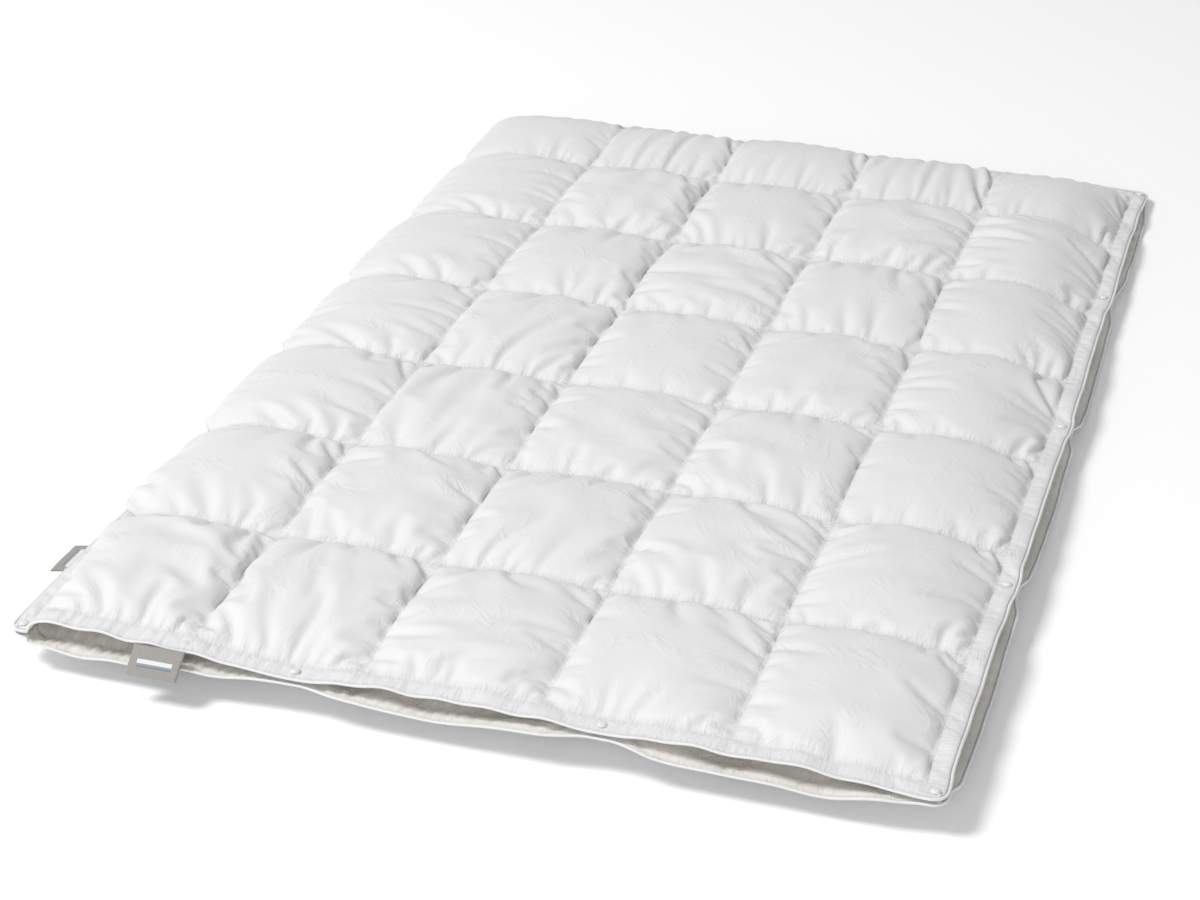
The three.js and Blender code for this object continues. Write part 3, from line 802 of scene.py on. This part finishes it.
def label(name, hinge, outward, slope, curl):
    """A woven ribbon folded in two. It sticks out from the hinge and slopes down."""
    path = ribbon_path()
    ahead = unit(np.gradient(path, axis=0))
    side = np.stack([-ahead[:, 1], ahead[:, 0]], -1) * (RIBBON / 2)
    across = np.linspace(-0.5, 0.5, 27)
    skins = []
    for skin in (path + side, path - side):
        out = np.repeat(skin[None, :, 0], len(across), 0)
        up = np.repeat(skin[None, :, 1], len(across), 0)
        share = out / LABEL_LENGTH
        wave = LABEL_WAVE * share * np.sin(5.5 * across[:, None] + 0.6)
        up = up - curl * share**2 + wave
        wide = across[:, None] * (LABEL_WIDTH - LABEL_TAPER * share)
        skins.append(np.stack([out, wide, up], -1))
    tilt = Matrix.Rotation(math.radians(slope), 4, "Y")
    facing = Matrix.Rotation(math.atan2(outward[1], outward[0]), 4, "Z")
    place = np.array(Matrix.Translation(hinge) @ facing @ tilt)
    points = np.stack(skins, 2).reshape(-1, 3) @ place[:3, :3].T + place[:3, 3]
    wide, far = len(across), len(path)
    index = np.arange(wide * far * 2).reshape(wide, far, 2)
    faces = quads(index[..., 0])[:, ::-1].tolist() + quads(index[..., 1]).tolist()
    faces += quads(index[0])[:, ::-1].tolist() + quads(index[-1]).tolist()
    faces += quads(index[:, 0]).tolist() + quads(index[:, -1])[:, ::-1].tolist()
    made = mesh_object(name, points, faces)
    flat = np.cumsum(np.linalg.norm(np.diff(path, axis=0, prepend=path[:1]), axis=1))
    at = np.stack(np.broadcast_arrays(across[:, None, None] * LABEL_WIDTH, flat[None, :, None]), -1)
    at = np.broadcast_to(at, (wide, far, 2, 2)).reshape(-1, 2)
    place = at[corner_vertices(made.data)] + (LABEL_MIDDLE, LABEL_HINGE)
    set_map(made.data, "ribbon", place / RIBBON_MAP_SIZE)
    return made


# ---- Building ----
def build_quilt(layer, seed):
    """One quilt: its two covers, the piping and the thread."""
    name = "upper" if layer > 0 else "lower"
    rng = np.random.default_rng(seed)
    lie = quilt_lie(layer, rng)
    fullness = rng.uniform(*FULLNESS, (ROWS, COLUMNS))
    slack = rng.uniform(*SLACK, (ROWS, COLUMNS))
    finest = 2 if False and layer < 0 else 1
    top = settled_cover(layer, 1, lie, fullness, slack, finest, rng)
    if finest == 2:
        top = finer(top)
    bottom = settled_cover(layer, -1, lie, fullness, slack, 2, rng)
    quilt = quilt_mesh(f"{name}_quilt", top, bottom)
    cord = piping(f"{name}_piping", top)
    thread = quilting_thread(f"{name}_quilting_thread", top, 1)
    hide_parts(*nodes_named(f"{name}_top", f"{name}_bottom", f"{name}_down"))
    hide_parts(*nodes_named(f"{name}_piping"))
    for piece in (quilt, cord, thread):
        bend_over_fold(piece)
    return quilt, cord, thread


def body_of_node(node):
    bodies = frame["record"]["behaviour"]["bodies"]
    return next(body for body, nodes in bodies.items() if node in nodes)


def build_studs():
    made = []
    for i in range(len(stud_spots())):
        for kind, profile, rise in (
            ("socket", SOCKET_PROFILE, SOCKET_BOTTOM),
            ("stud", STUD_PROFILE, BACK_TOP - BACK_HEIGHT),
        ):
            node = f"snap_{kind}_{i + 1}"
            low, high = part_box(node)
            middle = Vector(((low.x + high.x) / 2, (low.y + high.y) / 2, low.z - rise))
            piece = turned(f"press_{kind}_{i + 1}", profile, middle)
            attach(piece, body_of_node(node))
            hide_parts(node)
            made.append(piece)
    return made


def build_labels():
    made = []
    for node, joint_name, outward, slope, curl in (
        ("front_label", "front_label_flip", (0, -1), 36, 0.002),
        ("side_label", "side_label_flip", (-1, 0), 8, 0.001),
    ):
        joint = next(j for j in frame["joints"] if j["name"] == joint_name)
        hinge = Vector(joint["pos_m"])
        piece = label(f"{node}_ribbon", hinge, outward, slope, curl)
        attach(piece, body_of_node(node))
        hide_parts(node)
        made.append(piece)
    return made


upper_quilt, upper_piping, upper_thread = build_quilt(1, 7)
lower_quilt, lower_piping, lower_thread = build_quilt(-1, 11)
press_studs = build_studs()
labels = build_labels()


# ---- Materials ----
def new_material(name, color, roughness):
    """A material with its Principled shader, ready for the nodes that drive it."""
    material = bpy.data.materials.new(name)
    material.use_nodes = True
    tree = material.node_tree
    shader = tree.nodes["Principled BSDF"]
    shader.inputs["Base Color"].default_value = (*color, 1)
    shader.inputs["Roughness"].default_value = roughness
    return material, tree, shader


def join(tree, value, socket):
    """Links a node's output to a socket, or sets a constant."""
    if isinstance(value, bpy.types.NodeSocket):
        tree.links.new(value, socket)
    else:
        socket.default_value = value


def calc(tree, operation, *values):
    """The output of a Math node that works on numbers or other nodes' outputs."""
    node = tree.nodes.new("ShaderNodeMath")
    node.operation = operation
    for socket, value in zip(node.inputs, values):
        join(tree, value, socket)
    return node.outputs[0]


def place_on_map(tree, name, size):
    """The two coordinates of a map, in metres."""
    node = tree.nodes.new("ShaderNodeUVMap")
    node.uv_map = name
    apart = tree.nodes.new("ShaderNodeSeparateXYZ")
    join(tree, node.outputs[0], apart.inputs[0])
    return [calc(tree, "MULTIPLY", apart.outputs[k], size) for k in (0, 1)]


def noise(tree, x, y, size_x, size_y, detail=3.0, distortion=0.0, seed=0.0):
    """Noise between 0 and 1 whose grains are about size_x by size_y metres."""
    vector = tree.nodes.new("ShaderNodeCombineXYZ")
    join(tree, calc(tree, "DIVIDE", x, size_x), vector.inputs[0])
    join(tree, calc(tree, "DIVIDE", y, size_y), vector.inputs[1])
    vector.inputs[2].default_value = seed
    node = tree.nodes.new("ShaderNodeTexNoise")
    join(tree, vector.outputs[0], node.inputs["Vector"])
    node.inputs["Scale"].default_value = 1
    node.inputs["Detail"].default_value = detail
    node.inputs["Distortion"].default_value = distortion
    return node.outputs["Fac"]


def ridges(tree, grain, sharpness):
    """Thin ridges where a noise crosses its middle."""
    away = calc(tree, "ABSOLUTE", calc(tree, "SUBTRACT", grain, 0.5))
    flank = calc(tree, "SUBTRACT", 1, calc(tree, "MULTIPLY", away, 2))
    return calc(tree, "POWER", flank, sharpness)


def near_mask(tree, distance, reach):
    """1 at a seam, falling to 0 at this distance."""
    share = calc(tree, "SUBTRACT", 1, calc(tree, "DIVIDE", distance, reach))
    return calc(tree, "POWER", calc(tree, "MAXIMUM", share, 0), 1.6)


def weave(tree, x, y, pitch):
    """A plain weave: threads over and under one another."""
    waves = [calc(tree, "SINE", calc(tree, "MULTIPLY", k, 2 * math.pi / pitch)) for k in (x, y)]
    return calc(tree, "MULTIPLY", *waves)


def new_group(name, inputs, outputs):
    group = bpy.data.node_groups.new(name, "ShaderNodeTree")
    for way, socket_names in (("INPUT", inputs), ("OUTPUT", outputs)):
        for text in socket_names:
            group.interface.new_socket(text, in_out=way, socket_type="NodeSocketFloat")
    return group, group.nodes.new("NodeGroupInput"), group.nodes.new("NodeGroupOutput")


# Sets of creases: their direction in degrees, length, width and the place in the noise.
CREASES = ((35, 0.060, 0.020, 2.0), (-48, 0.045, 0.016, 5.0), (80, 0.070, 0.024, 9.0))
CREASE_PATCH = 0.07
CREASE_FADE = 0.2
PUCKER_PITCH = 0.0048
PUCKER_LENGTH = 0.022
PUCKER_REACH = 0.034
WEAVE_PITCH = 0.0009
# Painted shade in the hollow along each seam.
SEAM_SHADE_REACH = 0.012  # the tone is deeper this close to a seam


def crease_set(tree, x, y, turn, length, width, seed):
    """Creases that run one way, in some places only."""
    c, s = math.cos(math.radians(turn)), math.sin(math.radians(turn))
    along = calc(tree, "MULTIPLY_ADD", x, c, calc(tree, "MULTIPLY", y, s))
    aside = calc(tree, "MULTIPLY_ADD", y, c, calc(tree, "MULTIPLY", x, -s))
    crease = ridges(tree, noise(tree, along, aside, length, width, 1, 0.5, seed), 5)
    patches = noise(tree, x, y, CREASE_PATCH, CREASE_PATCH, 1, 0.3, seed + 20)
    above = calc(tree, "MAXIMUM", calc(tree, "SUBTRACT", patches, 0.5), 0)
    some = calc(tree, "MINIMUM", above, CREASE_FADE)
    return calc(tree, "MULTIPLY", crease, calc(tree, "MULTIPLY", some, 1 / CREASE_FADE))


def quilted_cloth_group():
    """Relief and tone of the quilt's cotton: puckers at the seams, creases, weave, mottling, and painted shade
    along the seams.
    """
    names = ("Pucker Depth", "Crease Depth", "Weave Depth")
    group, given, made = new_group("quilted_cloth", names, ("Height", "Tone"))
    pucker_depth, crease_depth, weave_depth = given.outputs[:3]
    x, y = place_on_map(group, "cloth", MAP_SIZE)
    away_x, away_y = place_on_map(group, "seams", MAP_SIZE)
    across = noise(group, x, y, PUCKER_PITCH, PUCKER_LENGTH, 2, 0.6)
    along = noise(group, x, y, PUCKER_LENGTH, PUCKER_PITCH, 2, 0.6, 4.0)
    across = calc(group, "MULTIPLY", across, near_mask(group, away_y, PUCKER_REACH))
    along = calc(group, "MULTIPLY", along, near_mask(group, away_x, PUCKER_REACH))
    puckers = calc(group, "ADD", across, along)
    creases = 0
    for turn, length, width, seed in CREASES:
        creases = calc(group, "ADD", crease_set(group, x, y, turn, length, width, seed), creases)
    height = calc(group, "MULTIPLY", puckers, pucker_depth)
    height = calc(group, "MULTIPLY_ADD", creases, crease_depth, height)
    height = calc(group, "MULTIPLY_ADD", weave(group, x, y, WEAVE_PITCH), weave_depth, height)
    join(group, height, made.inputs["Height"])
    clouds = noise(group, x, y, 0.10, 0.10, 3, 0.5, 12.0)
    flecks = noise(group, x, y, 0.012, 0.007, 1, 1.0, 15.0)
    fleck = calc(group, "MULTIPLY", calc(group, "GREATER_THAN", flecks, 0.76), 0.35)
    # Painted shade: the tone deepens in the hollow close to each seam.
    seam_shades = [near_mask(group, away, SEAM_SHADE_REACH) for away in (away_x, away_y)]
    seam_shade = calc(group, "MAXIMUM", *seam_shades)
    tone = calc(group, "ADD", calc(group, "MULTIPLY", clouds, 0.8), fleck)
    tone = calc(group, "MULTIPLY_ADD", seam_shade, 1.0, tone)
    join(group, tone, made.inputs["Tone"])
    return group


def woven_grain_group():
    """Small threads that run aslant over a map: relief, and a tone that varies with them."""
    group, given, made = new_group("woven_grain", ("Pitch", "Slant", "Depth"), ("Height", "Tone"))
    pitch, slant, depth = given.outputs[:3]
    x, y = place_on_map(group, "ribbon", RIBBON_MAP_SIZE)
    aslant = calc(group, "MULTIPLY_ADD", y, slant, x)
    turns = calc(group, "MULTIPLY", calc(group, "DIVIDE", aslant, pitch), 2 * math.pi)
    rib = calc(group, "SINE", turns)
    crossing = calc(group, "SINE", calc(group, "MULTIPLY", calc(group, "DIVIDE", y, pitch), math.pi))
    relief = calc(group, "MULTIPLY_ADD", crossing, 0.4, rib)
    join(group, calc(group, "MULTIPLY", relief, depth), made.inputs["Height"])
    worn = noise(group, x, y, 0.004, 0.004, 3, 0, 3.0)
    tone = calc(group, "MULTIPLY_ADD", rib, 0.12, worn)
    join(group, tone, made.inputs["Tone"])
    return group


def use_group(tree, group, **values):
    node = tree.nodes.new("ShaderNodeGroup")
    node.node_tree = group
    for name, value in values.items():
        node.inputs[name.replace("_", " ")].default_value = value
    return node


def mix_color(tree, share, first, second):
    node = tree.nodes.new("ShaderNodeMix")
    node.data_type = "RGBA"
    join(tree, share, node.inputs["Factor"])
    for socket, color in ((node.inputs[6], first), (node.inputs[7], second)):
        join(tree, color if isinstance(color, bpy.types.NodeSocket) else (*color, 1), socket)
    return node.outputs[2]


def add_relief(tree, shader, height):
    bump = tree.nodes.new("ShaderNodeBump")
    bump.inputs["Distance"].default_value = 1.0
    join(tree, height, bump.inputs["Height"])
    join(tree, bump.outputs[0], shader.inputs["Normal"])


def vary_color(tree, shader, tone, light, dark):
    join(tree, mix_color(tree, tone, light, dark), shader.inputs["Base Color"])


def vary_roughness(tree, shader, tone, by, least):
    join(tree, calc(tree, "MULTIPLY_ADD", tone, by, least), shader.inputs["Roughness"])


def cotton(name, light, dark, group, pucker_depth):
    """Downproof cotton cambric, matt with a faint nap."""
    material, tree, shader = new_material(name, light, 0.82)
    shader.inputs["Sheen Weight"].default_value = 0.15
    shader.inputs["Sheen Roughness"].default_value = 0.45
    shader.inputs["Specular IOR Level"].default_value = 0.35
    depths = {"Pucker_Depth": pucker_depth, "Crease_Depth": 0.0007, "Weave_Depth": 0.00003}
    cloth = use_group(tree, group, **depths)
    add_relief(tree, shader, cloth.outputs["Height"])
    vary_color(tree, shader, cloth.outputs["Tone"], light, dark)
    vary_roughness(tree, shader, cloth.outputs["Tone"], 0.12, 0.76)
    return material


def satin_cord(name, light, dark, roughness, group, pitch, slant, depth):
    """Piping and sewing thread: smooth twisted cotton."""
    material, tree, shader = new_material(name, light, roughness)
    shader.inputs["Sheen Weight"].default_value = 0.2
    grain = use_group(tree, group, Pitch=pitch, Slant=slant, Depth=depth)
    add_relief(tree, shader, grain.outputs["Height"])
    vary_color(tree, shader, grain.outputs["Tone"], light, dark)
    vary_roughness(tree, shader, grain.outputs["Tone"], 0.15, roughness - 0.07)
    return material


def pearl_finish():
    """Moulded pearly plastic with a milky swirl under a clear surface."""
    material, tree, shader = new_material("pearl", (0.80, 0.80, 0.78), 0.22)
    shader.inputs["Coat Weight"].default_value = 0.5
    shader.inputs["Coat Roughness"].default_value = 0.1
    place = tree.nodes.new("ShaderNodeTexCoord")
    apart = tree.nodes.new("ShaderNodeSeparateXYZ")
    join(tree, place.outputs["Object"], apart.inputs[0])
    x, y = apart.outputs[0], apart.outputs[1]
    swirl = noise(tree, x, y, 0.004, 0.007, 2, 2.5, 5.0)
    vary_color(tree, shader, swirl, (0.83, 0.83, 0.80), (0.66, 0.66, 0.65))
    vary_roughness(tree, shader, noise(tree, x, y, 0.001, 0.001, 2, 0, 8.0), 0.12, 0.16)
    return material


def stripe(tree, place, middle, half):
    """1 on a stripe of the ribbon, 0 beside it."""
    away = calc(tree, "ABSOLUTE", calc(tree, "SUBTRACT", place, middle))
    return calc(tree, "LESS_THAN", away, half)


def ribbon_finish(group):
    """Grey woven ribbon with a plain off-white stripe and a thin blue one, short of its ends."""
    material, tree, shader = new_material("woven_ribbon", (0.2, 0.195, 0.19), 0.78)
    shader.inputs["Sheen Weight"].default_value = 0.25
    grain = use_group(tree, group, Pitch=0.0011, Slant=0.6, Depth=0.00005)
    add_relief(tree, shader, grain.outputs["Height"])
    ground = mix_color(tree, grain.outputs["Tone"], (0.345, 0.328, 0.306), (0.265, 0.252, 0.236))
    x, y = place_on_map(tree, "ribbon", RIBBON_MAP_SIZE)
    inside = stripe(tree, x, LABEL_MIDDLE, 0.027)
    band = calc(tree, "MULTIPLY", stripe(tree, y, 0.026, 0.0032), inside)
    line = calc(tree, "MULTIPLY", stripe(tree, y, 0.0335, 0.0010), inside)
    ground = mix_color(tree, band, ground, (0.72, 0.72, 0.71))
    vary_color(tree, shader, line, ground, (0.10, 0.20, 0.36))
    vary_roughness(tree, shader, grain.outputs["Tone"], 0.15, 0.70)
    return material


def dress(pieces, *materials):
    for piece in pieces:
        for material in materials:
            piece.data.materials.append(material)


quilted_cloth = quilted_cloth_group()
woven_grain = woven_grain_group()
cambric = cotton(
    "cotton_cambric", (0.745, 0.745, 0.755), (0.700, 0.700, 0.706), quilted_cloth, 0.0026
)
# The covers inside, between the quilts, take a warmer, lighter copy of the cambric: painted warm bounce light in
# the shaded mouths.
warm_bounce_cotton = cotton(
    "cotton_inside", (0.790, 0.775, 0.735), (0.740, 0.720, 0.675), quilted_cloth, 0.0022
)
cord_finish = satin_cord(
    "piping_satin", (0.80, 0.80, 0.81), (0.72, 0.72, 0.73), 0.5, woven_grain, 0.0012, 0.8, 0.00006
)
thread_finish = satin_cord(
    "sewing_thread", (0.82, 0.82, 0.82), (0.74, 0.74, 0.74), 0.6, woven_grain, 0.0006, 0.5, 0.00003
)
dress([upper_quilt], cambric, warm_bounce_cotton)
dress([lower_quilt], warm_bounce_cotton, cambric)
dress([upper_piping, lower_piping], cord_finish)
dress([upper_thread, lower_thread], thread_finish)
dress(press_studs, pearl_finish())
dress(labels, ribbon_finish(woven_grain))


# ---- Floor and light ----
def make_floor():
    half = 40
    corners = [(-half, -half, 0), (half, -half, 0), (half, half, 0), (-half, half, 0)]
    floor = mesh_object("floor", corners, [[0, 1, 2, 3]])
    paper, _, shader = new_material("floor_paper", (0.98, 0.98, 0.98), 0.9)
    shader.inputs["Emission Color"].default_value = (1, 1, 1, 1)
    shader.inputs["Emission Strength"].default_value = 0.02
    floor.data.materials.append(paper)


def add_softbox(name, at, size, power, aim=(0, 0, 0.05)):
    light = bpy.data.lights.new(name, "AREA")
    light.shape = "DISK"
    light.size = size
    light.energy = power
    lamp = bpy.data.objects.new(name, light)
    bpy.context.scene.collection.objects.link(lamp)
    lamp.location = at
    lamp.rotation_euler = (Vector(at) - Vector(aim)).to_track_quat("Z", "Y").to_euler()


def make_light():
    world = bpy.data.worlds.new("studio")
    bpy.context.scene.world = world
    world.use_nodes = True
    background = world.node_tree.nodes["Background"]
    background.inputs["Color"].default_value = (1, 1, 1, 1)
    background.inputs["Strength"].default_value = 0.46
    add_softbox("key_softbox", at=(-6.0, -3.2, 8.8), size=3.6, power=840)
    add_softbox("fill_softbox", at=(1.5, -6.0, 2.5), size=3.0, power=80)
    bpy.context.scene.view_settings.view_transform = "Standard"


make_floor()
make_light()
